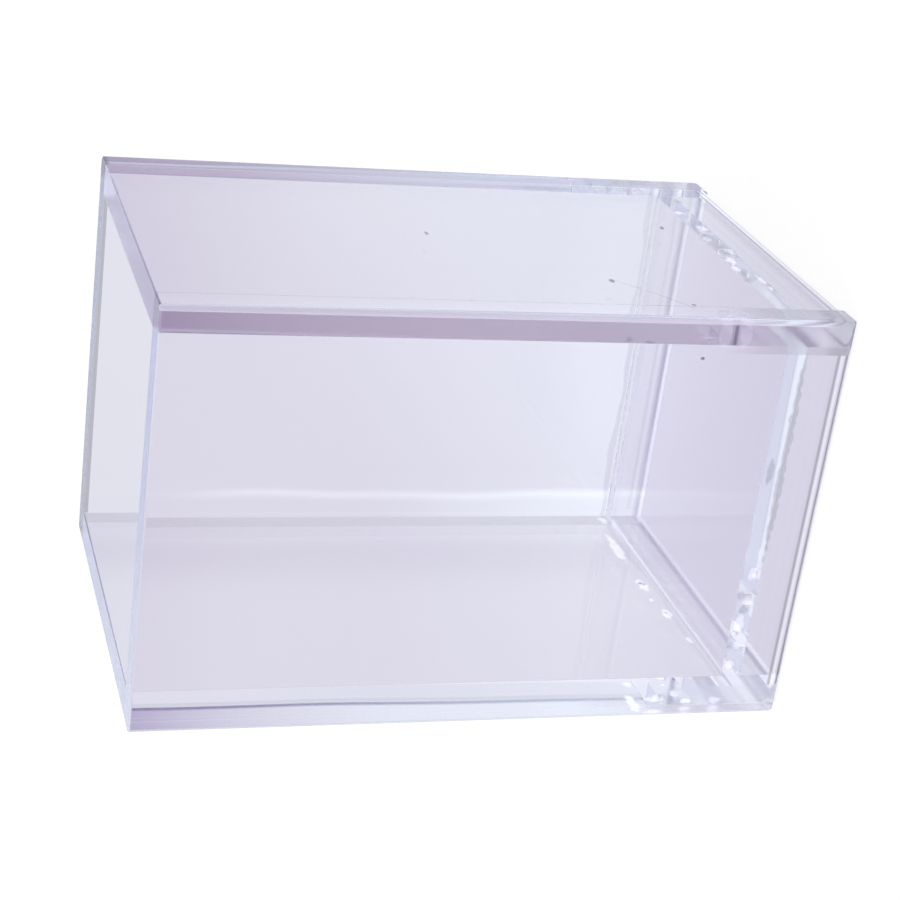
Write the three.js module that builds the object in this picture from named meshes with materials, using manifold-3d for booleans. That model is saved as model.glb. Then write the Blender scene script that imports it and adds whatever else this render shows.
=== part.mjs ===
// Clear acrylic pen holder: four cemented side sheets, open at the top, with a raised base sheet
// let in between them, so that the holder stands on the lower edges of its walls.
// Millimetres, +Z up. The origin is the centre of the footprint, on the surface it stands on.
// +X is to the right and -Y is the front.

import * as THREE from 'three';
import { mergeVertices } from 'three/addons/utils/BufferGeometryUtils.js';
import Module from 'manifold-3d';

// Overall size
const holderWidth = 64.5;
const holderDepth = 64.5;
const holderHeight = 100;

// Sheets
const wallThickness = 5;
const baseThickness = 3.2;

// Height of the hollow under the base sheet
const footRecess = 5.9;

// Worked edges: the rounded outer edge of the foot, the smaller round of the corners of the front
// and the back wall, and the flat that takes the sharpness off the rim and the inner edges
const footRadius = 2;
const cornerRadius = 0.7;
const arris = 0.3;

// Film of solvent cement between two sheets
const cementFilm = 0.05;

// Fineness of the round edges, in straight steps for each quarter turn
const roundSteps = 12;

// Places that follow from the sizes
const halfWidth = holderWidth / 2;
const halfDepth = holderDepth / 2;
const innerHalfWidth = halfWidth - wallThickness;
const innerHalfDepth = halfDepth - wallThickness;
const sideWallLength = 2 * (innerHalfDepth - cementFilm);
const baseWidth = 2 * (innerHalfWidth - cementFilm);
const baseDepth = 2 * (innerHalfDepth - cementFilm);

// Finish: water-clear cast acrylic with a faint violet cast, polished on its faces and edges
const wallAcrylic = new THREE.MeshStandardMaterial({
  color: 0xdcd9ea,
  roughness: 0.04,
  metalness: 0,
  transparent: true,
  opacity: 0.4,
});
const baseAcrylic = new THREE.MeshStandardMaterial({
  color: 0xd9dcf0,
  roughness: 0.04,
  metalness: 0,
  transparent: true,
  opacity: 0.4,
});

// Solids
const wasm = await Module();
wasm.setup();

// A closed three.js geometry as a solid that can be cut
function toSolid(geometry) {
  const bare = geometry.index ? geometry.toNonIndexed() : geometry.clone();
  bare.deleteAttribute('normal');
  bare.deleteAttribute('uv');
  const merged = mergeVertices(bare);
  return new wasm.Manifold(
    new wasm.Mesh({
      numProp: 3,
      vertProperties: new Float32Array(merged.attributes.position.array),
      triVerts: new Uint32Array(merged.index.array),
    }),
  );
}

// A cut solid as a three.js geometry again
function toGeometry(solid) {
  const mesh = solid.getMesh();
  const indexed = new THREE.BufferGeometry();
  indexed.setAttribute('position', new THREE.BufferAttribute(mesh.vertProperties, 3));
  indexed.setIndex(new THREE.BufferAttribute(mesh.triVerts, 1));
  const geometry = indexed.toNonIndexed();
  geometry.computeVertexNormals();
  return geometry;
}

// A shape drawn in the XY plane and pulled up by a length along Z
function pull(shape, length) {
  return new THREE.ExtrudeGeometry(shape, {
    depth: length,
    bevelEnabled: false,
    curveSegments: roundSteps,
  });
}

// Profiles

// The cross-section of a wall: across its thickness from its outer face at 0, and up from the foot.
// The outer edge of the foot is round, and the other three edges have an arris.
function wallSection() {
  const section = new THREE.Shape();
  section.moveTo(footRadius, 0);
  section.lineTo(wallThickness - arris, 0);
  section.lineTo(wallThickness, arris);
  section.lineTo(wallThickness, holderHeight - arris);
  section.lineTo(wallThickness - arris, holderHeight);
  section.lineTo(arris, holderHeight);
  section.lineTo(0, holderHeight - arris);
  section.lineTo(0, footRadius);
  section.absarc(footRadius, footRadius, footRadius, Math.PI, 1.5 * Math.PI, false);
  return section;
}

// The face of the holder as seen from the front: its two lower corners are round and its two upper
// corners have an arris.
function faceOutline() {
  const outline = new THREE.Shape();
  const roundX = halfWidth - cornerRadius;
  outline.moveTo(-roundX, 0);
  outline.lineTo(roundX, 0);
  outline.absarc(roundX, cornerRadius, cornerRadius, -0.5 * Math.PI, 0, false);
  outline.lineTo(halfWidth, holderHeight - arris);
  outline.lineTo(halfWidth - arris, holderHeight);
  outline.lineTo(arris - halfWidth, holderHeight);
  outline.lineTo(-halfWidth, holderHeight - arris);
  outline.lineTo(-halfWidth, cornerRadius);
  outline.absarc(-roundX, cornerRadius, cornerRadius, Math.PI, 1.5 * Math.PI, false);
  return outline;
}

// The holder seen from above: a rectangle with round corners
function planOutline() {
  const outline = new THREE.Shape();
  const roundX = halfWidth - cornerRadius;
  const roundY = halfDepth - cornerRadius;
  outline.moveTo(-roundX, -halfDepth);
  outline.lineTo(roundX, -halfDepth);
  outline.absarc(roundX, -roundY, cornerRadius, -0.5 * Math.PI, 0, false);
  outline.lineTo(halfWidth, roundY);
  outline.absarc(roundX, roundY, cornerRadius, 0, 0.5 * Math.PI, false);
  outline.lineTo(-roundX, halfDepth);
  outline.absarc(-roundX, roundY, cornerRadius, 0.5 * Math.PI, Math.PI, false);
  outline.lineTo(-halfWidth, -roundY);
  outline.absarc(-roundX, -roundY, cornerRadius, Math.PI, 1.5 * Math.PI, false);
  return outline;
}

// Turns that stand a pulled profile up. The first lays its pull along +X and its drawing's X
// along +Y, the second lays the pull along -Y and keeps the drawing's X. In both, the drawing's
// Y becomes the height.
const alongWidth = new THREE.Matrix4().makeBasis(
  new THREE.Vector3(0, 1, 0),
  new THREE.Vector3(0, 0, 1),
  new THREE.Vector3(1, 0, 0),
);
const alongDepth = new THREE.Matrix4().makeBasis(
  new THREE.Vector3(1, 0, 0),
  new THREE.Vector3(0, 0, 1),
  new THREE.Vector3(0, -1, 0),
);

// Sheets

// A full-width wall, made as the front one: the wall section run across the whole width, trimmed
// by the outlines of the face and of the plan, which round its lower corners and its upright edges
function fullWidthWall() {
  const run = pull(wallSection(), holderWidth);
  run.applyMatrix4(alongWidth);
  run.translate(-halfWidth, -halfDepth, 0);
  const face = pull(faceOutline(), holderDepth);
  face.applyMatrix4(alongDepth);
  face.translate(0, halfDepth, 0);
  const plan = pull(planOutline(), holderHeight);
  return toGeometry(toSolid(run).intersect(toSolid(face)).intersect(toSolid(plan)));
}

// A side wall, made as the left one: the same section, run between the front and the back wall
function betweenWall() {
  const run = pull(wallSection(), sideWallLength);
  run.applyMatrix4(alongDepth);
  run.translate(-halfWidth, sideWallLength / 2, 0);
  return toGeometry(toSolid(run));
}

// The base sheet: a rectangle with an arris round its upper and its lower face
function baseSheet() {
  const rectangle = new THREE.Shape();
  const halfX = baseWidth / 2 - arris;
  const halfY = baseDepth / 2 - arris;
  rectangle.moveTo(-halfX, -halfY);
  rectangle.lineTo(halfX, -halfY);
  rectangle.lineTo(halfX, halfY);
  rectangle.lineTo(-halfX, halfY);
  const sheet = new THREE.ExtrudeGeometry(rectangle, {
    depth: baseThickness - 2 * arris,
    bevelEnabled: true,
    bevelThickness: arris,
    bevelSize: arris,
    bevelSegments: 1,
  });
  sheet.translate(0, 0, footRecess + arris);
  return toGeometry(toSolid(sheet));
}

// Assembly: the right and back walls are the left and front ones turned half round the upright
// middle axis
const holder = new THREE.Group();

function addSheet(name, geometry, material, turn) {
  const sheet = new THREE.Mesh(geometry, material);
  sheet.name = name;
  sheet.rotation.z = turn;
  holder.add(sheet);
}

addSheet('front_wall', fullWidthWall(), wallAcrylic, 0);
addSheet('back_wall', fullWidthWall(), wallAcrylic, Math.PI);
addSheet('left_wall', betweenWall(), wallAcrylic, 0);
addSheet('right_wall', betweenWall(), wallAcrylic, Math.PI);
addSheet('base_plate', baseSheet(), baseAcrylic, 0);

export default holder;
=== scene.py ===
# Clear acrylic pen holder: the looks of its five cemented sheets, on a plain white floor.
# Metres, +Z up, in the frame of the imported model.

import math

import bmesh
import bpy
from mathutils import Euler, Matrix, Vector


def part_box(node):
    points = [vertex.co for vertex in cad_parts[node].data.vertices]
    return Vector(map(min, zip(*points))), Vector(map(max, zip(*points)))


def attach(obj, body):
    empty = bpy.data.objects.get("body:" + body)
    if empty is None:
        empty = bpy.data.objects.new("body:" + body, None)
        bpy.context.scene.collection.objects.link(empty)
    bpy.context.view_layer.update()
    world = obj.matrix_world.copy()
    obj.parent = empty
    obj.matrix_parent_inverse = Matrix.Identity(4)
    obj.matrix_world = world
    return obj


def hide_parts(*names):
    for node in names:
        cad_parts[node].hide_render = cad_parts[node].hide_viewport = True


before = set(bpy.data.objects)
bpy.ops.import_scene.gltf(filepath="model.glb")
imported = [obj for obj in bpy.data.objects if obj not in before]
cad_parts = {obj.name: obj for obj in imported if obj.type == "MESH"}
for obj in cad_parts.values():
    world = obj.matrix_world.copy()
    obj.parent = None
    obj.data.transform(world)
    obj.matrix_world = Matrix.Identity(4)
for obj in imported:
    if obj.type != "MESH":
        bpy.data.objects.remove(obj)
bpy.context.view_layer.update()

MM = 0.001

# Worked edges of the sheets
FOOT_RADIUS = 2.0 * MM
CORNER_RADIUS = 0.7 * MM
ARRIS = 0.3 * MM
EDGE_STEPS = 10

# How far a point may lie off a face or an edge and still count as on it
TOLERANCE = 0.01 * MM

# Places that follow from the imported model
FRONT_LOW, FRONT_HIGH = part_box("front_wall")
LEFT_LOW, LEFT_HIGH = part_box("left_wall")
BASE_LOW, BASE_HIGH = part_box("base_plate")
WALL_INNER_X = -LEFT_HIGH.x
WALL_OUTER_X = FRONT_HIGH.x
WALL_INNER_Y = -FRONT_HIGH.y
WALL_OUTER_Y = -FRONT_LOW.y
SIDE_END_Y = LEFT_HIGH.y


# Nodes

def node(tree, kind, **settings):
    made = tree.nodes.new(kind)
    for name, value in settings.items():
        setattr(made, name, value)
    return made


def wire(tree, source, target):
    tree.links.new(source, target)


def maths(tree, operation, a, b=None, c=None):
    made = node(tree, "ShaderNodeMath", operation=operation)
    for socket, value in zip(made.inputs, (a, b, c)):
        if value is None:
            continue
        if isinstance(value, (int, float)):
            socket.default_value = value
        else:
            wire(tree, value, socket)
    return made.outputs[0]


def between(tree, value, low, high):
    above = maths(tree, "GREATER_THAN", value, low)
    below = maths(tree, "LESS_THAN", value, high)
    return maths(tree, "MULTIPLY", above, below)


def vectors(tree, operation, a, b=None):
    made = node(tree, "ShaderNodeVectorMath", operation=operation)
    for socket, value in zip(made.inputs, (a, b)):
        if value is None:
            continue
        if isinstance(value, tuple):
            socket.default_value = value
        else:
            wire(tree, value, socket)
    return made.outputs["Value" if operation == "DOT_PRODUCT" else "Vector"]


def scaled(tree, colour, factor):
    made = node(tree, "ShaderNodeVectorMath", operation="SCALE")
    if isinstance(colour, tuple):
        made.inputs[0].default_value = colour
    else:
        wire(tree, colour, made.inputs[0])
    if isinstance(factor, (int, float)):
        made.inputs["Scale"].default_value = factor
    else:
        wire(tree, factor, made.inputs["Scale"])
    return made.outputs[0]


def ramp(tree, value, low, high):
    """0 below low and 1 above high, with a smooth step between them."""
    made = node(tree, "ShaderNodeMapRange", interpolation_type="SMOOTHSTEP")
    wire(tree, value, made.inputs["Value"])
    made.inputs["From Min"].default_value = low
    made.inputs["From Max"].default_value = high
    return made.outputs[0]


def bell(tree, value, centre, width):
    """1 at the centre, falling off softly over the width on both sides."""
    share = maths(tree, "DIVIDE", maths(tree, "SUBTRACT", value, centre), width)
    return maths(tree, "EXPONENT", maths(tree, "MULTIPLY", maths(tree, "MULTIPLY", share, share), -1.0))


def object_place(tree):
    return node(tree, "ShaderNodeTexCoord").outputs["Object"]


def split(tree, vector):
    made = node(tree, "ShaderNodeSeparateXYZ")
    wire(tree, vector, made.inputs[0])
    return made.outputs["X"], made.outputs["Y"], made.outputs["Z"]


def new_group(name, inputs, outputs):
    tree = bpy.data.node_groups.new(name, "ShaderNodeTree")
    for label, kind, value in inputs:
        socket = tree.interface.new_socket(label, in_out="INPUT", socket_type=kind)
        socket.default_value = value
    for label, kind in outputs:
        tree.interface.new_socket(label, in_out="OUTPUT", socket_type=kind)
    given = node(tree, "NodeGroupInput").outputs
    result = node(tree, "NodeGroupOutput").inputs
    return tree, given, result


# Spots: how far a point lies from a centre, squared, as a share of the reach

def spot_group():
    tree, given, result = new_group(
        "cement_spot",
        [("Place", "NodeSocketVector", (0.0, 0.0, 0.0)),
         ("Centre", "NodeSocketVector", (0.0, 0.0, 0.0)),
         ("Reach", "NodeSocketVector", (MM, MM, MM))],
        [("Share", "NodeSocketFloat")])
    offset = vectors(tree, "SUBTRACT", given["Place"], given["Centre"])
    share = vectors(tree, "DIVIDE", offset, given["Reach"])
    wire(tree, vectors(tree, "DOT_PRODUCT", share, share), result["Share"])
    return tree


SPOT = spot_group()


def spots(tree, place, table):
    """Domes of 1 at the centres of a table that fall to 0 at their reaches, in millimetres."""
    least = None
    for centre, reach in table:
        made = node(tree, "ShaderNodeGroup", node_tree=SPOT)
        wire(tree, place, made.inputs["Place"])
        made.inputs["Centre"].default_value = tuple(MM * c for c in centre)
        made.inputs["Reach"].default_value = tuple(MM * r for r in reach)
        share = made.outputs["Share"]
        least = share if least is None else maths(tree, "MINIMUM", least, share)
    return maths(tree, "MAXIMUM", maths(tree, "SUBTRACT", 1.0, least), 0.0)


# Marks of the cement, seam by seam: air caught in it or a drop of it on the wall, dull patches and pale
# ones. The acrylic gives the air and the pale patches a painted glow.
RIGHT_SEAM_AIR = (
    ((27.2, 18.8, 8.4), (0.3, 0.9, 1.5)),
    ((27.2, 10.7, 7.3), (0.3, 2.3, 1.1)),
    ((27.2, 6.3, 8.5), (0.3, 1.6, 1.1)),
    ((27.2, 1.0, 6.9), (0.3, 1.9, 1.2)),
    ((27.2, -3.2, 8.2), (0.3, 2.0, 1.0)),
    ((27.2, -7.2, 8.9), (0.3, 1.6, 0.8)),
    ((27.2, -12.7, 6.6), (0.3, 4.5, 0.5)),
)
RIGHT_SEAM_DULL = (
    ((27.2, 24.6, 6.3), (0.4, 1.3, 1.0)),
    ((27.2, 4.0, 7.7), (0.4, 7.5, 1.4)),
    ((27.2, -11.8, 8.5), (0.4, 1.5, 0.7)),
)
LEFT_SEAM_AIR = (
    ((-27.2, 25.3, 10.2), (0.3, 1.4, 1.0)),
    ((-27.2, 14.8, 11.3), (0.3, 6.0, 1.1)),
    ((-27.2, 1.9, 11.4), (0.3, 2.4, 1.0)),
    ((-27.2, -3.2, 11.8), (0.3, 1.0, 0.5)),
    ((-27.2, -7.8, 10.6), (0.3, 2.0, 0.9)),
    ((-27.2, -16.2, 9.9), (0.3, 1.2, 0.5)),
)
FRONT_SEAM_AIR = (
    ((-14.5, -27.2, 7.1), (0.4, 0.3, 1.2)),
    ((-18.2, -27.2, 7.8), (2.4, 0.3, 1.0)),
    ((-22.0, -27.2, 7.4), (0.8, 0.3, 1.2)),
    ((-25.3, -27.2, 7.9), (1.0, 0.3, 0.9)),
    ((-9.5, -27.2, 7.3), (1.4, 0.3, 0.8)),
)
FRONT_SEAM_DULL = (
    ((-13.3, -27.2, 8.3), (1.0, 0.4, 0.9)),
    ((-15.5, -27.2, 7.4), (0.8, 0.4, 1.1)),
    ((7.4, -27.2, 7.9), (2.8, 0.4, 0.6)),
    ((9.0, -27.2, 6.0), (20.0, 0.4, 0.7)),
)
FRONT_LEFT_AIR = (
    ((-31.0, -27.2, 19.4), (0.8, 0.3, 2.0)),
    ((-31.5, -27.2, 14.1), (0.6, 0.3, 1.1)),
    ((-31.5, -27.2, 9.4), (0.6, 0.3, 1.3)),
)
FRONT_RIGHT_PALE = (
    ((28.9, -27.2, 19.0), (2.2, 0.4, 1.1)),
    ((28.9, -27.2, 15.9), (2.2, 0.4, 1.0)),
)
BACK_RIGHT_DULL = (
    ((30.5, 27.2, 15.7), (0.6, 0.4, 0.8)),
    ((29.9, 27.2, 19.2), (0.5, 0.4, 0.7)),
)


def seam_group(name, **kinds):
    tree, given, result = new_group(
        name, [("Place", "NodeSocketVector", (0.0, 0.0, 0.0))],
        [(kind, "NodeSocketFloat") for kind in kinds])
    for kind, table in kinds.items():
        wire(tree, spots(tree, given["Place"], table), result[kind])
    return tree


RIGHT_SEAM = seam_group("right_seam_marks", Air=RIGHT_SEAM_AIR, Dull=RIGHT_SEAM_DULL)
LEFT_SEAM = seam_group("left_seam_marks", Air=LEFT_SEAM_AIR)
FRONT_SEAM = seam_group("front_seam_marks", Air=FRONT_SEAM_AIR, Dull=FRONT_SEAM_DULL)
FRONT_LEFT_SEAM = seam_group("front_left_seam_marks", Air=FRONT_LEFT_AIR)
FRONT_RIGHT_SEAM = seam_group("front_right_seam_marks", Pale=FRONT_RIGHT_PALE)
BACK_RIGHT_SEAM = seam_group("back_right_seam_marks", Dull=BACK_RIGHT_DULL)


# Cemented joints: 1 on the faces that cement joins, 0 elsewhere. The holder is alike on both sides
# of both middle planes, so the test reads how far a point lies from them. The cement thins out
# towards the two faces of the base sheet.

CEMENT_BORDER = 0.45 * MM


def cement_group():
    tree, given, result = new_group("cement_joints", [], [("Joined", "NodeSocketFloat")])
    east, north, z = split(tree, object_place(tree))
    x = maths(tree, "ABSOLUTE", east)
    y = maths(tree, "ABSOLUTE", north)
    near_y = between(tree, y, SIDE_END_Y - TOLERANCE, WALL_INNER_Y + TOLERANCE)
    near_x = between(tree, x, BASE_HIGH.x - TOLERANCE, WALL_INNER_X + TOLERANCE)
    upright = maths(tree, "MULTIPLY", near_y, maths(tree, "GREATER_THAN", x, WALL_INNER_X))
    in_base = maths(tree, "MULTIPLY", between(tree, z, BASE_LOW.z, BASE_HIGH.z), maths(
        tree, "SUBTRACT", ramp(tree, z, BASE_LOW.z, BASE_LOW.z + CEMENT_BORDER),
        ramp(tree, z, BASE_HIGH.z - CEMENT_BORDER, BASE_HIGH.z)))
    base_y = maths(tree, "MULTIPLY", near_y, maths(tree, "LESS_THAN", x, BASE_HIGH.x))
    base_x = maths(tree, "MULTIPLY", near_x, maths(tree, "LESS_THAN", y, BASE_HIGH.y))
    base = maths(tree, "MULTIPLY", maths(tree, "MAXIMUM", base_y, base_x), in_base)
    wire(tree, maths(tree, "MAXIMUM", upright, base), result["Joined"])
    return tree


CEMENT = cement_group()


# Smears of cement on the inner faces of the walls, with painted shade and painted glow. The darkening
# is the dull line that follows the base sheet, strongest at the back, whose height sways along the
# walls, and a faint upright cloud of painted shade on the left wall. The brightening is a painted glow
# on the run of cement down the back wall beside the left one, a bright ridge with a film between it and
# the corner that both grow towards the base. Each sway is its size, its run along X, Y and Z in radians
# per metre, and its phase.

SMEAR_HEIGHT = 1.15 * MM
LINE_FULL_FROM = 0.4
LINE_FULL_TO = 0.75
LINE_END = 1.15
LINE_SWAYS = (
    (0.3 * MM, (310.0, 215.0, 0.0), 0.4),
    (0.2 * MM, (-118.0, 134.0, 0.0), 2.1),
    (0.1 * MM, (870.0, -690.0, 0.0), 1.0),
)
RIDGE_SWAYS = (
    (0.25 * MM, (0.0, 0.0, 95.0), 0.8),
    (0.12 * MM, (0.0, 0.0, 260.0), 2.0),
)
BACK_SMEAR = 1.0
LEFT_SMEAR = 0.5
RIGHT_SMEAR = 0.1
# The cloud on the left wall is painted shade
PAINTED_SHADE_CLOUD = 0.6
CLOUD_PLACE = 14.0 * MM
CLOUD_WIDTH = 8.0 * MM
FACE_DEPTH = 0.02 * MM
RIDGE_PLACE = -23.0 * MM
RIDGE_WIDTH = 0.75 * MM
RIDGE_FULL = 72.0 * MM
RIDGE_END = 92.0 * MM
POOL_TOP = 55.0 * MM
POOL_FOOT = 12.0 * MM
CORNER_LINE = -26.6 * MM
CORNER_LINE_WIDTH = 0.3 * RIDGE_WIDTH
# Painted glow of the cement run on the back wall
RIDGE_PAINTED_GLOW = (0.1, 0.12, 0.1)
CORNER_LINE_PAINTED_GLOW = (0.03, 0.03, 0.04)
FILM_PAINTED_GLOW = (0.08, 0.11, 0.09)


def smear_and_painted_light_group():
    tree, given, result = new_group(
        "cement_smears_and_painted_light", [], [("Smear And Painted Shade", "NodeSocketFloat"), ("Painted Glow", "NodeSocketColor")])
    place = object_place(tree)
    east, north, z = split(tree, place)
    x = maths(tree, "ABSOLUTE", east)
    y = maths(tree, "ABSOLUTE", north)

    def swayed(value, sways):
        for size, run, phase in sways:
            turn = vectors(tree, "DOT_PRODUCT", place, run)
            wave = maths(tree, "SINE", maths(tree, "ADD", turn, phase))
            value = maths(tree, "MULTIPLY_ADD", wave, size, value)
        return value

    height = swayed(SMEAR_HEIGHT, LINE_SWAYS)
    share = maths(tree, "DIVIDE", maths(tree, "SUBTRACT", z, BASE_HIGH.z), height)
    line = maths(tree, "MULTIPLY", ramp(tree, share, 0.0, LINE_FULL_FROM),
                 maths(tree, "SUBTRACT", 1.0, ramp(tree, share, LINE_FULL_TO, LINE_END)))
    on_y = between(tree, y, WALL_INNER_Y - FACE_DEPTH, WALL_INNER_Y + FACE_DEPTH)
    on_x = between(tree, x, WALL_INNER_X - FACE_DEPTH, WALL_INNER_X + FACE_DEPTH)
    on_back = maths(tree, "MULTIPLY", on_y, maths(tree, "GREATER_THAN", north, 0.0))
    on_left = maths(tree, "MULTIPLY", on_x, maths(tree, "LESS_THAN", east, 0.0))
    share = maths(tree, "MULTIPLY_ADD", on_left, LEFT_SMEAR - RIGHT_SMEAR,
                  maths(tree, "MULTIPLY", on_x, RIGHT_SMEAR))
    share = maths(tree, "MULTIPLY_ADD", on_back, BACK_SMEAR, share)
    shade_cloud = maths(tree, "MULTIPLY", bell(tree, north, CLOUD_PLACE, CLOUD_WIDTH), PAINTED_SHADE_CLOUD)
    shade_cloud = maths(tree, "MULTIPLY", shade_cloud, on_left)
    wire(tree, maths(tree, "MULTIPLY_ADD", line, share, shade_cloud), result["Smear And Painted Shade"])
    across = maths(tree, "SUBTRACT", east, swayed(RIDGE_PLACE, RIDGE_SWAYS))
    fade = maths(tree, "SUBTRACT", 1.0, ramp(tree, z, RIDGE_FULL, RIDGE_END))
    pool = maths(tree, "SUBTRACT", 1.0, ramp(tree, z, POOL_FOOT, POOL_TOP))
    ridge = maths(tree, "MULTIPLY", bell(tree, across, 0.0, RIDGE_WIDTH), fade)
    film = maths(tree, "MULTIPLY", pool, maths(
        tree, "SUBTRACT", 1.0, ramp(tree, across, -RIDGE_WIDTH, 2.0 * RIDGE_WIDTH)))
    corner = maths(tree, "MULTIPLY", bell(tree, east, CORNER_LINE, CORNER_LINE_WIDTH), fade)
    painted_glow = vectors(tree, "ADD", scaled(tree, RIDGE_PAINTED_GLOW, ridge), scaled(tree, FILM_PAINTED_GLOW, film))
    painted_glow = vectors(tree, "ADD", painted_glow, scaled(tree, CORNER_LINE_PAINTED_GLOW, corner))
    wire(tree, scaled(tree, painted_glow, on_back), result["Painted Glow"])
    return tree


SMEARS_AND_PAINTED_LIGHT = smear_and_painted_light_group()


# Worked edges, with painted shade and painted highlights. Haze is 1 on the sawn rim, on the underside
# of the foot and on the small rounds of the upright corners, nearly as high near the foot of the four
# corner posts, and higher between the posts on the foot of the back and the left wall. The fine dark
# lines that border the round of the foot are painted shade, and the light run between them is a painted
# highlight. Another mask darkens the rim and the ends of the back wall and the foot of the right corner
# post at the front. A painted highlight lies on the round of the two upright corners at the right, and
# a painted glow on the sole of the back and the left wall.

RIM_DEPTH = 0.35 * MM
BACK_RIM_DEPTH = 0.7 * MM
SOLE_DEPTH = 0.5 * MM
PALE_SOLE_DEPTH = 1.0 * MM
POST_HAZE = 0.9
FAR_FOOT_HAZE = 1.2
POST_FROM = 24.0 * MM
POST_TO = 12.0 * MM
UPPER_LINE = 2.4 * MM
LOWER_LINE = 1.05 * MM
BACK_LOWER_LINE = 1.5 * MM
CORE_HEIGHT = 1.85 * MM
LINE_WIDTH = 0.26 * MM
# Strength of the painted shade lines at the foot
UPPER_LINE_SHADE = 0.68
LOWER_LINE_SHADE = 0.85
BACK_LOWER_LINE_SHADE = 0.65
BACK_RIM_LOSS = 0.6
BACK_END_LOSS = 0.2
CAP_LOSS = 0.55
CAP_FROM = 8.0 * MM
CAP_TO = 2.5 * MM
CAP_VEIL = 0.27
VEIL_FROM = 21.0 * MM
VEIL_TO = 12.0 * MM
CORNER_LIGHT = 31.7 * MM
CORNER_LIGHT_WIDTH = 0.13 * MM
CORNER_LIGHT_GAIN = 0.9


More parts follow.
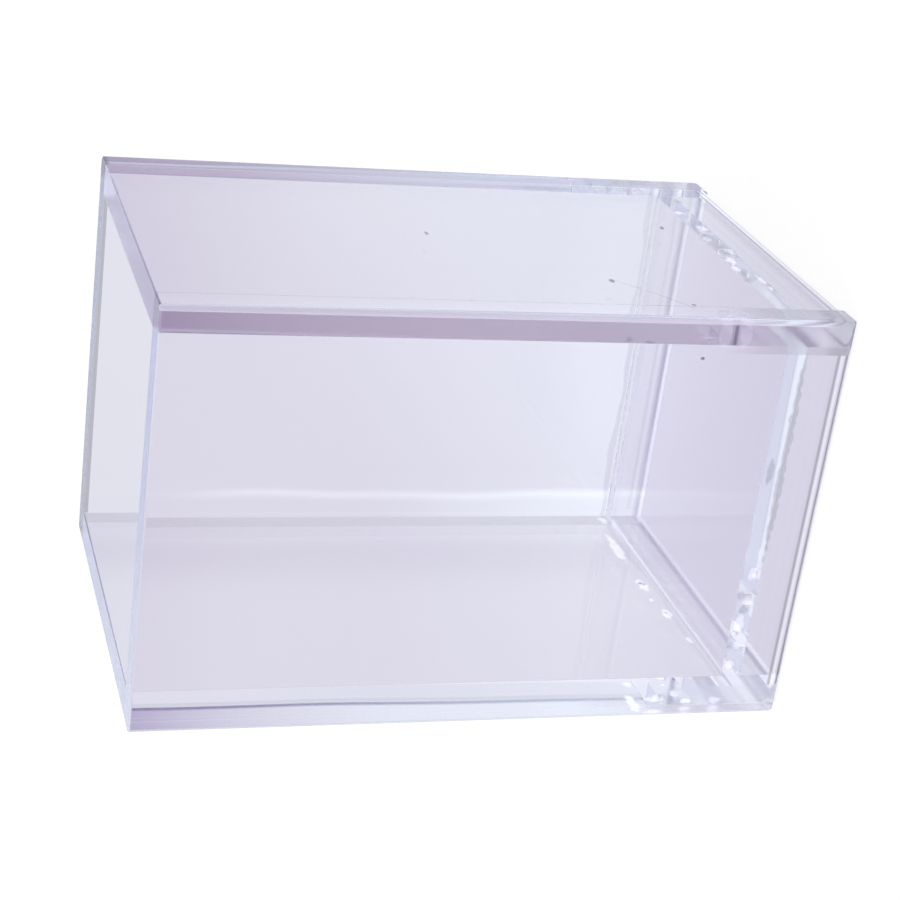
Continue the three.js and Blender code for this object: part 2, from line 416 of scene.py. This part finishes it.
def edge_and_painted_light_group():
    tree, given, result = new_group(
        "worked_edges_and_painted_light", [],
        [("Haze", "NodeSocketFloat"), ("Painted Shade Lines", "NodeSocketFloat"), ("Painted Core Highlight", "NodeSocketFloat"),
         ("Darkened Rim And Cap", "NodeSocketFloat"), ("Painted Corner Highlight", "NodeSocketFloat"), ("Painted Sole Glow", "NodeSocketFloat")])
    east, north, z = split(tree, object_place(tree))
    x = maths(tree, "ABSOLUTE", east)
    y = maths(tree, "ABSOLUTE", north)
    rim = maths(tree, "GREATER_THAN", z, FRONT_HIGH.z - RIM_DEPTH)
    sole = maths(tree, "LESS_THAN", z, SOLE_DEPTH)
    end = maths(tree, "GREATER_THAN", x, WALL_OUTER_X - CORNER_RADIUS)
    corner = maths(tree, "MULTIPLY", end,
                   maths(tree, "GREATER_THAN", y, WALL_OUTER_Y - CORNER_RADIUS))
    inward = maths(tree, "MINIMUM", x, y)
    post = maths(tree, "MULTIPLY", maths(tree, "GREATER_THAN", inward, WALL_INNER_X), maths(
        tree, "MULTIPLY_ADD", ramp(tree, z, POST_TO, POST_FROM), -POST_HAZE, POST_HAZE))
    to_front = maths(tree, "LESS_THAN", maths(tree, "SUBTRACT", north, east), 0.0)
    far_foot = maths(tree, "MULTIPLY", maths(tree, "LESS_THAN", z, FOOT_RADIUS), maths(
        tree, "MULTIPLY_ADD", to_front, -FAR_FOOT_HAZE, FAR_FOOT_HAZE))
    far_foot = maths(tree, "MULTIPLY", far_foot, maths(tree, "LESS_THAN", inward, WALL_INNER_X))
    haze = maths(tree, "MAXIMUM", maths(tree, "MAXIMUM", rim, sole),
                 maths(tree, "MAXIMUM", corner, post))
    wire(tree, maths(tree, "MAXIMUM", haze, far_foot), result["Haze"])
    outer = maths(tree, "GREATER_THAN", maths(tree, "MAXIMUM", x, y), WALL_OUTER_X - FOOT_RADIUS)
    outer = maths(tree, "MULTIPLY", outer, maths(tree, "LESS_THAN", inward, WALL_INNER_X))
    upper = maths(tree, "MULTIPLY", bell(tree, z, UPPER_LINE, LINE_WIDTH),
                  maths(tree, "MULTIPLY", to_front, UPPER_LINE_SHADE))
    lower_line = maths(tree, "MULTIPLY_ADD", to_front, LOWER_LINE - BACK_LOWER_LINE,
                       BACK_LOWER_LINE)
    in_back = maths(tree, "GREATER_THAN", north, WALL_INNER_Y - FACE_DEPTH)
    lower = maths(tree, "MULTIPLY", bell(tree, z, lower_line, LINE_WIDTH),
                  maths(tree, "MULTIPLY_ADD", to_front, LOWER_LINE_SHADE,
                        maths(tree, "MULTIPLY", in_back, BACK_LOWER_LINE_SHADE)))
    wire(tree, maths(tree, "MULTIPLY", maths(tree, "MAXIMUM", upper, lower), outer),
         result["Painted Shade Lines"])
    core = maths(tree, "MULTIPLY", bell(tree, z, CORE_HEIGHT, LINE_WIDTH), to_front)
    wire(tree, maths(tree, "MULTIPLY", core, outer), result["Painted Core Highlight"])
    back_rim = maths(tree, "GREATER_THAN", z, FRONT_HIGH.z - BACK_RIM_DEPTH)
    cut = maths(tree, "MAXIMUM", maths(tree, "MULTIPLY", back_rim, BACK_RIM_LOSS),
                maths(tree, "MULTIPLY", end, BACK_END_LOSS))
    cut = maths(tree, "MULTIPLY", cut, in_back)
    on_cap = maths(tree, "MULTIPLY", maths(tree, "LESS_THAN", north, -WALL_INNER_Y - FACE_DEPTH),
                   maths(tree, "GREATER_THAN", east, WALL_INNER_X))
    cap = maths(tree, "MULTIPLY_ADD", ramp(tree, z, CAP_TO, CAP_FROM), -CAP_LOSS, CAP_LOSS)
    veil = maths(tree, "MULTIPLY_ADD", ramp(tree, z, VEIL_TO, VEIL_FROM), -CAP_VEIL, CAP_VEIL)
    cap = maths(tree, "MAXIMUM", cap, veil)
    wire(tree, maths(tree, "MAXIMUM", cut, maths(tree, "MULTIPLY", cap, on_cap)), result["Darkened Rim And Cap"])
    pale_sole = maths(tree, "LESS_THAN", z, PALE_SOLE_DEPTH)
    wire(tree, maths(tree, "MULTIPLY", pale_sole, maths(tree, "SUBTRACT", 1.0, to_front)),
         result["Painted Sole Glow"])
    light = maths(tree, "MULTIPLY_ADD", bell(tree, y, CORNER_LIGHT, CORNER_LIGHT_WIDTH),
                  CORNER_LIGHT_GAIN, 1.0)
    light = maths(tree, "MULTIPLY", light, maths(tree, "GREATER_THAN", east, 0.0))
    light = maths(tree, "MULTIPLY", light, ramp(tree, z, CAP_TO, CAP_FROM))
    wire(tree, maths(tree, "MULTIPLY", light, corner), result["Painted Corner Highlight"])
    return tree


EDGES_AND_PAINTED_LIGHT = edge_and_painted_light_group()


# Sheet surface. Rough Place is the place with its small-scale shaking, Ripple the shaking itself,
# Swell the tilt of the faint waves of a cast sheet, and Film the haze of handling.

SPOT_SHAKE = 0.35 * MM
FINE_GRAIN = 700.0
SWELL_GRAIN = 45.0
SWELL_TILT = 0.002
FILM_HAZE = 0.02
FILM_FULL = 0.2


def surface_group():
    tree, given, result = new_group(
        "sheet_surface",
        [("Waves", "NodeSocketFloat", SWELL_TILT), ("Film", "NodeSocketFloat", FILM_HAZE)],
        [("Rough Place", "NodeSocketVector"), ("Ripple", "NodeSocketVector"),
         ("Swell", "NodeSocketVector"), ("Film", "NodeSocketFloat")])
    place = object_place(tree)
    shifts = []
    for scale in (FINE_GRAIN, SWELL_GRAIN):
        noise = node(tree, "ShaderNodeTexNoise")
        noise.inputs["Scale"].default_value = scale
        noise.inputs["Detail"].default_value = 0.0
        wire(tree, place, noise.inputs["Vector"])
        shifts.append(vectors(tree, "SUBTRACT", noise.outputs["Color"], (0.5, 0.5, 0.5)))
    fine, swell = shifts
    wire(tree, vectors(tree, "ADD", place, scaled(tree, fine, 2 * SPOT_SHAKE)),
         result["Rough Place"])
    wire(tree, fine, result["Ripple"])
    wire(tree, scaled(tree, swell, given["Waves"]), result["Swell"])
    patches = ramp(tree, split(tree, swell)[2], 0.0, FILM_FULL)
    wire(tree, maths(tree, "MULTIPLY", patches, given["Film"]), result["Film"])
    return tree


SURFACE = surface_group()


# Grit: the dark specks and the hair that lie on the right and the front wall

SPECKS = (
    ((32.2, 0.5, 55.8), (0.4, 0.95, 0.45)),
    ((32.2, -17.8, 32.9), (0.4, 1.0, 0.4)),
    ((32.2, 7.0, 16.0), (0.4, 0.9, 0.45)),
    ((32.2, -26.6, 23.5), (0.4, 0.6, 0.35)),
    ((26.3, -32.2, 23.3), (0.3, 0.4, 0.3)),
)

# How far into a speck its dark is full
SPECK_FULL = 0.5

# The hair runs down the right wall as a shallow curve, its height read across the wall
HAIR_FROM = -28.0 * MM
HAIR_TO = -17.5 * MM
HAIR_MIDDLE = -22.5 * MM
HAIR_HEIGHT = 27.9 * MM
HAIR_SLOPE = 0.82
HAIR_BEND = 18.0
HAIR_WIDTH = 0.17 * MM
HAIR_STRENGTH = 0.5


def grit_group():
    tree, given, result = new_group(
        "grit", [("Place", "NodeSocketVector", (0.0, 0.0, 0.0))], [("Grit", "NodeSocketFloat")])
    specks = ramp(tree, spots(tree, given["Place"], SPECKS), 0.0, SPECK_FULL)
    x, y, z = split(tree, object_place(tree))
    along = maths(tree, "SUBTRACT", y, HAIR_MIDDLE)
    bend = maths(tree, "MULTIPLY", maths(tree, "MULTIPLY", along, along), HAIR_BEND)
    curve = maths(tree, "ADD", maths(tree, "MULTIPLY_ADD", along, HAIR_SLOPE, HAIR_HEIGHT), bend)
    hair = bell(tree, maths(tree, "SUBTRACT", z, curve), 0.0, HAIR_WIDTH)
    hair = maths(tree, "MULTIPLY", hair, between(tree, y, HAIR_FROM, HAIR_TO))
    on_right = maths(tree, "GREATER_THAN", x, WALL_OUTER_X - ARRIS)
    hair = maths(tree, "MULTIPLY", maths(tree, "MULTIPLY", hair, on_right), HAIR_STRENGTH)
    wire(tree, maths(tree, "MAXIMUM", specks, hair), result["Grit"])
    return tree


GRIT = grit_group()


# Acrylic. How far into a mark it is full, shares of light lost (the smears' share with its painted
# shade), how far dull and pale patches part the joint, painted glow of caught air and of pale patches,
# painted highlights of the foot's light run and of the corner rounds, painted glow of the sole, tilt of
# the ripple in a bubble, haze of the worked edges, and the share of the foot's painted shade lines that
# shows from within the sheet.

ACRYLIC_IOR = 1.49
AIR_EDGE = 0.001
AIR_FULL = 0.7
DULL_FULL = 0.5
PALE_FULL = 0.3
DULL_LOSS = 0.4
DULL_OPENS = 0.5
PALE_OPENS = 0.3
SMEAR_AND_SHADE_LOSS = (0.27, 0.29, 0.24)
GRIT_LOSS = 0.85
AIR_PAINTED_GLOW = (0.2, 0.21, 0.23)
PALE_PAINTED_GLOW = (0.1, 0.1, 0.13)
CORE_PAINTED_HIGHLIGHT = (0.19, 0.19, 0.17)
ROUND_PAINTED_HIGHLIGHT = (0.2, 0.22, 0.23)
SOLE_PAINTED_GLOW = (0.045, 0.045, 0.05)
AIR_RIPPLE = 0.9
EDGE_HAZE = 0.25
WITHIN_SHARE = 0.42


def acrylic(name, body, density, seams, is_wall=True, has_grit=False, edge_painted_glow=None,
            air_painted_glow=1.0):
    made = bpy.data.materials.new(name)
    made.use_nodes = True
    tree = made.node_tree
    tree.nodes.clear()

    def effect(group, place=None):
        placed = node(tree, "ShaderNodeGroup", node_tree=group)
        if place is not None:
            wire(tree, place, placed.inputs[0])
        return placed

    def highest(values):
        if not values:
            return None
        most = values[0]
        for value in values[1:]:
            most = maths(tree, "MAXIMUM", most, value)
        return most

    out = node(tree, "ShaderNodeOutputMaterial")
    glass = node(tree, "ShaderNodeBsdfPrincipled")
    glass.inputs["IOR"].default_value = ACRYLIC_IOR
    glass.inputs["Transmission Weight"].default_value = 1.0
    glass.inputs["Emission Strength"].default_value = 1.0
    surface = effect(SURFACE).outputs
    place = surface["Rough Place"]
    marks = [effect(seam, place).outputs for seam in seams]
    air, dull, pale = (highest([mark[kind] for mark in marks if kind in mark])
                       for kind in ("Air", "Dull", "Pale"))
    joined = effect(CEMENT).outputs["Joined"]
    losses = []
    painted_glows = []
    if dull is not None:
        dull = ramp(tree, dull, 0.0, DULL_FULL)
        joined = maths(tree, "MULTIPLY", joined, maths(tree, "MULTIPLY_ADD", dull, -DULL_OPENS, 1.0))
        losses.append(maths(tree, "MULTIPLY", dull, DULL_LOSS))
    if pale is not None:
        pale = ramp(tree, pale, 0.0, PALE_FULL)
        joined = maths(tree, "MULTIPLY", joined, maths(tree, "MULTIPLY_ADD", pale, -PALE_OPENS, 1.0))
        # Pale patches get a painted glow
        painted_glows.append(scaled(tree, PALE_PAINTED_GLOW, pale))
    facing = node(tree, "ShaderNodeNewGeometry")
    tilt = surface["Swell"]
    if air is not None:
        joined = maths(tree, "MULTIPLY", joined, maths(tree, "LESS_THAN", air, AIR_EDGE))
        # Caught air gets a painted glow
        painted_glows.append(scaled(tree, tuple(air_painted_glow * s for s in AIR_PAINTED_GLOW),
                             ramp(tree, air, 0.0, AIR_FULL)))
        ripple = scaled(tree, surface["Ripple"], maths(tree, "MULTIPLY", air, AIR_RIPPLE))
        tilt = vectors(tree, "ADD", tilt, ripple)
    wire(tree, maths(tree, "SUBTRACT", 1.0, joined), glass.inputs["Alpha"])

    clear = CLEAR
    haze = surface["Film"]
    if is_wall:
        edges = effect(EDGES_AND_PAINTED_LIGHT).outputs
        smears_and_painted_light = effect(SMEARS_AND_PAINTED_LIGHT).outputs
        outside = maths(tree, "MULTIPLY_ADD", facing.outputs["Backfacing"], WITHIN_SHARE - 1.0, 1.0)
        # The foot's fine dark lines are painted shade
        losses.append(maths(tree, "MULTIPLY", edges["Painted Shade Lines"], outside))
        losses.append(edges["Darkened Rim And Cap"])
        smear_and_shade = vectors(tree, "SUBTRACT", (1.0, 1.0, 1.0), scaled(tree, SMEAR_AND_SHADE_LOSS, smears_and_painted_light["Smear And Painted Shade"]))
        clear = vectors(tree, "MULTIPLY", smear_and_shade, CLEAR)
        painted_glows.append(smears_and_painted_light["Painted Glow"])
        core = scaled(tree, CORE_PAINTED_HIGHLIGHT, edges["Painted Core Highlight"])
        corner = scaled(tree, ROUND_PAINTED_HIGHLIGHT, edges["Painted Corner Highlight"])
        painted_glows.append(scaled(tree, vectors(tree, "ADD", core, corner), outside))
        painted_glows.append(scaled(tree, SOLE_PAINTED_GLOW, edges["Painted Sole Glow"]))
        # A painted glow on the hazy edges, where the sheet is given one
        if edge_painted_glow is not None:
            painted_glows.append(scaled(tree, edge_painted_glow, edges["Haze"]))
        haze = maths(tree, "MULTIPLY_ADD", edges["Haze"], EDGE_HAZE, haze)
    if has_grit:
        losses.append(maths(tree, "MULTIPLY", effect(GRIT, place).outputs["Grit"], GRIT_LOSS))
    left = maths(tree, "SUBTRACT", 1.0, highest(losses))
    wire(tree, scaled(tree, clear, left), glass.inputs["Base Color"])
    # All these brightenings are painted glow and painted highlights, fed to the emission
    painted_glow = painted_glows[0]
    for more in painted_glows[1:]:
        painted_glow = vectors(tree, "ADD", painted_glow, more)
    wire(tree, painted_glow, glass.inputs["Emission Color"])
    wire(tree, haze, glass.inputs["Roughness"])
    tilted = vectors(tree, "ADD", facing.outputs["Normal"], tilt)
    wire(tree, vectors(tree, "NORMALIZE", tilted), glass.inputs["Normal"])
    wire(tree, glass.outputs[0], out.inputs["Surface"])
    depth = node(tree, "ShaderNodeVolumeAbsorption")
    depth.inputs["Color"].default_value = (*body, 1)
    depth.inputs["Density"].default_value = density
    wire(tree, depth.outputs[0], out.inputs["Volume"])
    return made


# Tint of each face, and the body colours: per metre of acrylic, each colour loses density x (1 - body).
# The sheets are one acrylic: their differing bodies and densities are shaded copies of it, and the dark
# lilac body of the right wall is painted shade.
CLEAR = (0.955, 0.93, 0.96)
WATER_CLEAR = (0.5, 0.52, 0.88)
BASE_CLEAR = (0.6, 0.7, 0.9)
RIGHT_BODY_PAINTED_SHADE = (0.545, 0.41, 0.565)
RIGHT_EDGE_PAINTED_GLOW = (0.08, 0.08, 0.1)

FRONT_ACRYLIC = acrylic(
    "front_acrylic", WATER_CLEAR, density=5, has_grit=True, air_painted_glow=0.35,
    seams=(FRONT_SEAM, FRONT_LEFT_SEAM, FRONT_RIGHT_SEAM))
BACK_ACRYLIC = acrylic("back_acrylic", WATER_CLEAR, density=5, seams=(BACK_RIGHT_SEAM,))
LEFT_ACRYLIC = acrylic(
    "left_acrylic", WATER_CLEAR, density=1, air_painted_glow=1.3, seams=(LEFT_SEAM, FRONT_LEFT_SEAM))
# The right wall's dark lilac body is painted shade
RIGHT_ACRYLIC = acrylic(
    "right_acrylic_painted_shade", RIGHT_BODY_PAINTED_SHADE, density=20, has_grit=True, edge_painted_glow=RIGHT_EDGE_PAINTED_GLOW, air_painted_glow=1.2,
    seams=(RIGHT_SEAM, FRONT_RIGHT_SEAM, BACK_RIGHT_SEAM))
BASE_ACRYLIC = acrylic(
    "base_acrylic", BASE_CLEAR, density=1, is_wall=False, air_painted_glow=0.6,
    seams=(RIGHT_SEAM, LEFT_SEAM, FRONT_SEAM))


# Sheets

def rounded_sheet(name, low, high, cuts, weight_of):
    """A box of sheet cut at places along X, whose edges are rounded by their own weights."""
    mesh = bmesh.new()
    xs = [low.x, *cuts, high.x]
    rings = []
    for x in xs:
        corners = ((low.y, low.z), (high.y, low.z), (high.y, high.z), (low.y, high.z))
        rings.append([mesh.verts.new((x, y, z)) for y, z in corners])
    for a, b in zip(rings, rings[1:]):
        for i in range(4):
            j = (i + 1) % 4
            mesh.faces.new((a[i], a[j], b[j], b[i]))
    mesh.faces.new(rings[0])
    mesh.faces.new(reversed(rings[-1]))
    bmesh.ops.recalc_face_normals(mesh, faces=mesh.faces)
    layer = mesh.edges.layers.float.new("bevel_weight_edge")
    for edge in mesh.edges:
        edge[layer] = weight_of((edge.verts[0].co + edge.verts[1].co) / 2,
                                edge.verts[0].co - edge.verts[1].co)
    for face in mesh.faces:
        face.smooth = True
    data = bpy.data.meshes.new(name)
    mesh.to_mesh(data)
    mesh.free()
    sheet = bpy.data.objects.new(name, data)
    bpy.context.scene.collection.objects.link(sheet)
    bevel = sheet.modifiers.new("edges", "BEVEL")
    bevel.limit_method = "WEIGHT"
    bevel.width = FOOT_RADIUS
    bevel.segments = EDGE_STEPS
    bevel.miter_outer = "MITER_SHARP"
    return sheet


def close(a, b):
    return abs(a - b) < TOLERANCE


def full_width_weights(outer_y, inner_y, low, high):
    def weight(middle, along):
        end = close(abs(middle.x), high.x)
        at_foot = close(middle.z, low.z)
        at_rim = close(middle.z, high.z)
        outer = close(middle.y, outer_y)
        if at_foot and outer:
            return 1.0
        if end and (at_foot and abs(along.y) > 0 or outer and abs(along.z) > 0):
            return CORNER_RADIUS / FOOT_RADIUS
        if outer and at_rim:
            return ARRIS / FOOT_RADIUS
        if end and at_rim and abs(along.y) > 0:
            return ARRIS / FOOT_RADIUS
        inner_run = close(middle.y, inner_y) and abs(along.x) > 0
        if inner_run and (at_foot or at_rim) and abs(middle.x) < WALL_INNER_X:
            return ARRIS / FOOT_RADIUS
        return 0.0
    return weight


def between_weights(outer_x, low):
    def weight(middle, along):
        if abs(along.y) == 0:
            return 0.0
        if close(middle.z, low.z) and close(middle.x, outer_x):
            return 1.0
        return ARRIS / FOOT_RADIUS
    return weight


# A face at least this much larger than a neighbour that it meets smoothly keeps its own flatness
FLAT_SHARE = 20.0
SMOOTH_LIMIT = math.radians(40)


def keep_flats_flat(data):
    """Shade the rounded edges smoothly into the flat faces without bending these."""
    meeting = [[] for _ in data.vertices]
    for face in data.polygons:
        for vertex in face.vertices:
            meeting[vertex].append(face)
    normals = []
    for face in data.polygons:
        for vertex in face.vertices:
            smooth = [f for f in meeting[vertex] if f.normal.angle(face.normal) < SMOOTH_LIMIT]
            largest = max(smooth, key=lambda f: f.area)
            total = Vector()
            for other in smooth:
                if other.area * FLAT_SHARE > largest.area:
                    total += other.normal
            normals.append(total.normalized())
    data.normals_split_custom_set(normals)


def finished(sheet, material, body, cad_node):
    graph = bpy.context.evaluated_depsgraph_get()
    data = bpy.data.meshes.new_from_object(sheet.evaluated_get(graph))
    keep_flats_flat(data)
    sheet.modifiers.clear()
    sheet.data = data
    data.materials.clear()
    data.materials.append(material)
    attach(sheet, body)
    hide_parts(cad_node)
    return sheet


def unworked(middle, along):
    return 0.0


def full_width_wall(name, cad_node, outer_side, material):
    low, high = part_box(cad_node)
    outer, inner = (low.y, high.y) if outer_side < 0 else (high.y, low.y)
    cuts = (-WALL_INNER_X, WALL_INNER_X)
    sheet = rounded_sheet(name, low, high, cuts, full_width_weights(outer, inner, low, high))
    return finished(sheet, material, "root", cad_node)


def between_wall(name, cad_node, outer_side, material):
    low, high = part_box(cad_node)
    outer = low.x if outer_side < 0 else high.x
    sheet = rounded_sheet(name, low, high, (), between_weights(outer, low))
    return finished(sheet, material, "root", cad_node)


full_width_wall("front_sheet", "front_wall", -1, FRONT_ACRYLIC)
full_width_wall("back_sheet", "back_wall", 1, BACK_ACRYLIC)
between_wall("left_sheet", "left_wall", -1, LEFT_ACRYLIC)
between_wall("right_sheet", "right_wall", 1, RIGHT_ACRYLIC)
finished(rounded_sheet("base_sheet", BASE_LOW, BASE_HIGH, (), unworked),
         BASE_ACRYLIC, "root", "base_plate")


# Floor and surroundings: plain white to the eye. In the acrylic the floor shows painted light and
# painted shade: a soft fall-off, brightest round and behind the holder in painted pools of light,
# dimmer in front of it and far to its right, and a painted shadow under it.

def seen_in_acrylic(path, tree):
    return maths(tree, "MAXIMUM", path.outputs["Is Glossy Ray"], path.outputs["Is Transmission Ray"])


FLOOR_RADIUS = 3.0
FLOOR_SIDES = 96
FLOOR_GREY = 0.3
FLOOR_TO_EYE = (0.86, 0.86, 0.86)
# Painted light pools and painted shade of the floor, seen only in the acrylic
FRONT_SHADE = (0.33, 0.253, 0.345)
BACK_GAIN = (0.265, 0.366, 0.337)
BACK_FROM = -0.389
BACK_TO = 0.137
POOL_GAIN = (0.105, 0.148, 0.137)
POOL_CENTRE = (0.01, 0.134, 0.0)
POOL_REACH = (0.091, 0.5, 1.0)
UNDER_SHADE = (0.0, -0.045, -0.015)
UNDER_FULL = 0.8 * WALL_OUTER_X
NEAR_GAIN = (0.1, 0.11, 0.11)
NEAR_CENTRE = (0.0, 0.052, 0.0)
NEAR_REACH = (0.045, 0.035, 1.0)
FAR_GAIN = (0.04, 0.045, 0.04)
FAR_FROM = 0.12
FAR_TO = 0.35
SIDE_SHADE = (-0.36, -0.44, -0.3)
SIDE_FROM = 0.06
SIDE_TO = 0.4


def floor():
    made = bpy.data.materials.new("white_floor")
    made.use_nodes = True
    tree = made.node_tree
    tree.nodes.clear()
    out = node(tree, "ShaderNodeOutputMaterial")
    paint = node(tree, "ShaderNodeBsdfDiffuse")
    paint.inputs["Color"].default_value = (FLOOR_GREY, FLOOR_GREY, FLOOR_GREY, 1)
    place = object_place(tree)
    x, y = split(tree, place)[:2]
    tone = vectors(tree, "ADD", FRONT_SHADE,
                   scaled(tree, BACK_GAIN, ramp(tree, y, BACK_FROM, BACK_TO)))
    tone = vectors(tree, "ADD", tone, scaled(tree, FAR_GAIN, ramp(tree, y, FAR_FROM, FAR_TO)))
    tone = vectors(tree, "ADD", tone, scaled(tree, SIDE_SHADE, ramp(tree, x, SIDE_FROM, SIDE_TO)))
    for gain, centre, reach in ((POOL_GAIN, POOL_CENTRE, POOL_REACH),
                                (NEAR_GAIN, NEAR_CENTRE, NEAR_REACH)):
        share = vectors(tree, "DIVIDE", vectors(tree, "SUBTRACT", place, centre), reach)
        square = vectors(tree, "DOT_PRODUCT", share, share)
        pool = maths(tree, "EXPONENT", maths(tree, "MULTIPLY", square, -1.0))
        tone = vectors(tree, "ADD", tone, scaled(tree, gain, pool))
    across = maths(tree, "MAXIMUM", maths(tree, "ABSOLUTE", x), maths(tree, "ABSOLUTE", y))
    under = maths(tree, "SUBTRACT", 1.0, ramp(tree, across, UNDER_FULL, WALL_OUTER_X))
    tone = vectors(tree, "ADD", tone, scaled(tree, UNDER_SHADE, under))
    path = node(tree, "ShaderNodeLightPath")
    tone = scaled(tree, tone, seen_in_acrylic(path, tree))
    to_eye = scaled(tree, FLOOR_TO_EYE, path.outputs["Is Camera Ray"])
    tone = vectors(tree, "ADD", tone, to_eye)
    glow = node(tree, "ShaderNodeEmission")
    wire(tree, tone, glow.inputs["Color"])
    both = node(tree, "ShaderNodeAddShader")
    wire(tree, paint.outputs[0], both.inputs[0])
    wire(tree, glow.outputs[0], both.inputs[1])
    wire(tree, both.outputs[0], out.inputs["Surface"])
    mesh = bmesh.new()
    bmesh.ops.create_circle(mesh, cap_ends=True, segments=FLOOR_SIDES, radius=FLOOR_RADIUS)
    data = bpy.data.meshes.new("floor")
    mesh.to_mesh(data)
    mesh.free()
    data.materials.append(made)
    disc = bpy.data.objects.new("floor", data)
    bpy.context.scene.collection.objects.link(disc)


floor()


WORLD_LIGHT = (0.6, 0.6, 0.6)
WORLD_TO_EYE = (0.4, 0.4, 0.4)
LOW_WORLD = (0.18, 0.22, 0.33)
HIGH_WORLD = (-0.15, -0.18, -0.17)
HIGH_FROM = math.sin(math.radians(23))
HIGH_TO = math.sin(math.radians(31))
TOP_FROM = math.sin(math.radians(36))
TOP_TO = math.sin(math.radians(55))
TOP_SHARE = 0.25


def surroundings():
    world = bpy.data.worlds.new("studio")
    bpy.context.scene.world = world
    world.use_nodes = True
    world.cycles.sampling_method = "NONE"
    tree = world.node_tree
    tree.nodes.clear()
    out = node(tree, "ShaderNodeOutputWorld")
    plain = node(tree, "ShaderNodeBackground")
    path = node(tree, "ShaderNodeLightPath")
    z = split(tree, node(tree, "ShaderNodeTexCoord").outputs["Generated"])[2]
    dim = maths(tree, "MULTIPLY_ADD", ramp(tree, z, TOP_FROM, TOP_TO), -TOP_SHARE,
                ramp(tree, z, HIGH_FROM, HIGH_TO))
    seen = vectors(tree, "ADD", LOW_WORLD, scaled(tree, HIGH_WORLD, dim))
    tone = vectors(tree, "ADD", WORLD_LIGHT, scaled(tree, seen, seen_in_acrylic(path, tree)))
    to_eye = scaled(tree, WORLD_TO_EYE, path.outputs["Is Camera Ray"])
    wire(tree, vectors(tree, "ADD", tone, to_eye), plain.inputs["Color"])
    wire(tree, plain.outputs[0], out.inputs["Surface"])


surroundings()


# Lamp

LAMP_PLACE = (-0.6, -0.7, 0.9)
LAMP_SIZE = 0.5
LAMP_POWER = 3.0


def key_lamp():
    data = bpy.data.lights.new("key_lamp", "AREA")
    data.shape = "SQUARE"
    data.size = LAMP_SIZE
    data.energy = LAMP_POWER
    made = bpy.data.objects.new("key_lamp", data)
    made.location = LAMP_PLACE
    made.rotation_euler = (-Vector(LAMP_PLACE)).to_track_quat("-Z", "Y").to_euler()
    made.visible_camera = False
    made.visible_glossy = False
    made.visible_transmission = False
    bpy.context.scene.collection.objects.link(made)


key_lamp()


# Camera

CAMERA_PLACE = (0.128929, -0.283876, 0.142439)
CAMERA_TURN = (1.017, 73.161, -64.029)
CAMERA_LENS = 84.064
CAMERA_SENSOR = 36
CAMERA_NEAR = 0.01


def camera():
    data = bpy.data.cameras.new("camera")
    data.lens = CAMERA_LENS
    data.sensor_width = CAMERA_SENSOR
    data.clip_start = CAMERA_NEAR
    made = bpy.data.objects.new("camera", data)
    made.location = CAMERA_PLACE
    made.rotation_euler = Euler([math.radians(angle) for angle in CAMERA_TURN])
    bpy.context.scene.collection.objects.link(made)
    bpy.context.scene.camera = made


camera()


# Light that passes many faces of the acrylic before it reaches the eye
MOST_BOUNCES = 40

scene = bpy.context.scene
scene.view_settings.view_transform = "Standard"
scene.cycles.max_bounces = MOST_BOUNCES
scene.cycles.transmission_bounces = MOST_BOUNCES
scene.cycles.glossy_bounces = MOST_BOUNCES
scene.cycles.transparent_max_bounces = MOST_BOUNCES
